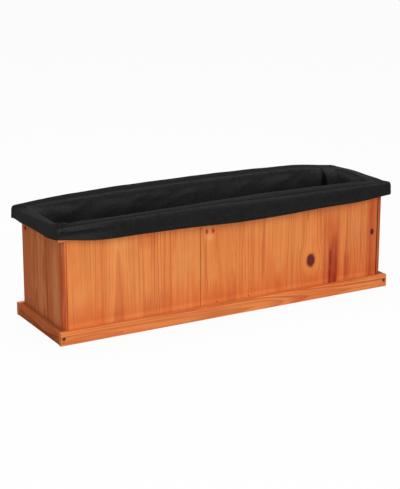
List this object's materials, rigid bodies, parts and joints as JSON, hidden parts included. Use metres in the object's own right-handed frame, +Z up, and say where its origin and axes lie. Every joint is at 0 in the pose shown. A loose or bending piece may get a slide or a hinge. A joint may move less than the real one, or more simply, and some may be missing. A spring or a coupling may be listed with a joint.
{
  "type": "planter box",
  "caption": "Long wooden planter box of upright boards on a low plinth, with a flat rim, a slatted floor and a black felt liner turned down over the rim.",
  "frame": {"origin": "centre of the underside of the plinth, on the ground", "axes": "+X along the box to its right end, +Y from the front to the back, +Z up"},
  "size_m": [1.0124, 0.3131, 0.3149],
  "materials": {
    "board_wood": "orange-stained softwood, upright grain, satin",
    "end_wood": "orange-stained softwood, upright grain, satin",
    "rail_wood": "orange-stained softwood, grain along the rail, satin",
    "inner_wood": "thinly stained softwood, rough sawn",
    "screw_steel": "dark plated steel",
    "liner_felt": "matte black needle felt"
  },
  "bodies": {
    "box": {"front_board_left": "board_wood", "front_board_right": "board_wood", "back_board_left": "board_wood", "back_board_right": "board_wood", "left_end_panel": "end_wood", "right_end_panel": "end_wood", "plinth_front": "rail_wood", "plinth_back": "rail_wood", "plinth_left": "rail_wood", "plinth_right": "rail_wood", "rim_front": "rail_wood", "rim_back": "rail_wood", "rim_left": "rail_wood", "rim_right": "rail_wood", "post_front_left": "inner_wood", "post_front_right": "inner_wood", "post_back_left": "inner_wood", "post_back_right": "inner_wood", "cleat_front": "inner_wood", "cleat_back": "inner_wood", "floor_slat_1": "inner_wood", "floor_slat_2": "inner_wood", "floor_slat_3": "inner_wood", "floor_slat_4": "inner_wood", "floor_slat_5": "inner_wood", "floor_slat_6": "inner_wood", "floor_slat_7": "inner_wood", "floor_slat_8": "inner_wood", "floor_slat_9": "inner_wood", "floor_slat_10": "inner_wood", "plinth_screws": "screw_steel", "board_screws": "screw_steel", "rim_screws": "screw_steel", "post_screws": "screw_steel", "cleat_screws": "screw_steel", "slat_screws": "screw_steel", "board_brads": "screw_steel"},
    "liner": {"liner_front": "liner_felt", "liner_right": "liner_felt", "liner_back": "liner_felt", "liner_left": "liner_felt", "liner_base": "liner_felt"}
  },
  "joints": [
    {"name": "liner_lift", "type": "slide", "parent": "box", "child": "liner", "axis": [0, 0, 1], "range_m": [0, 0.28]}
  ]
}
